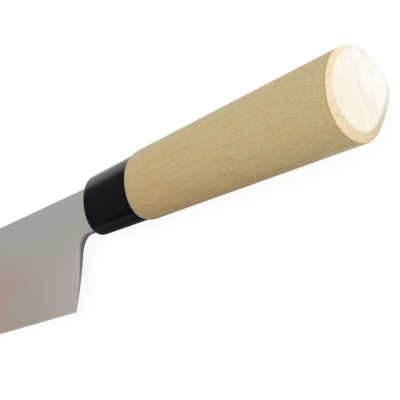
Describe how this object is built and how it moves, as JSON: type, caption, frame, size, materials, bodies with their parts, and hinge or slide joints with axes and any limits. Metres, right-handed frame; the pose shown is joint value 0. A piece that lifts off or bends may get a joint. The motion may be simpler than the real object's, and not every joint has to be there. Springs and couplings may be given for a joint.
{
  "type": "usuba knife",
  "caption": "Chisel-ground vegetable knife: square-tipped laminated steel blade, hollow-ground back, D-shaped magnolia grip and black moulded ferrule.",
  "frame": {"origin": "on the flat end face of the handle, on the handle's axis", "axes": "+X from the butt to the tip, +Y from the spine to the cutting edge, +Z out of the blade's flat back (ura), so the knife lies on its bevelled side"},
  "size_m": [0.3151, 0.0437, 0.0196],
  "materials": {
    "hard_steel": "fine satin, ground along the blade",
    "soft_iron": "matte, hazy on the bevel",
    "ferrule_moulding": "polished black",
    "magnolia_wood": "sanded, bare",
    "bedding_resin": "cured resin"
  },
  "bodies": {
    "root": {"hagane": "hard_steel", "jigane": "soft_iron", "ferrule": "ferrule_moulding", "handle": "magnolia_wood", "tang_bedding": "bedding_resin"}
  },
  "joints": []
}
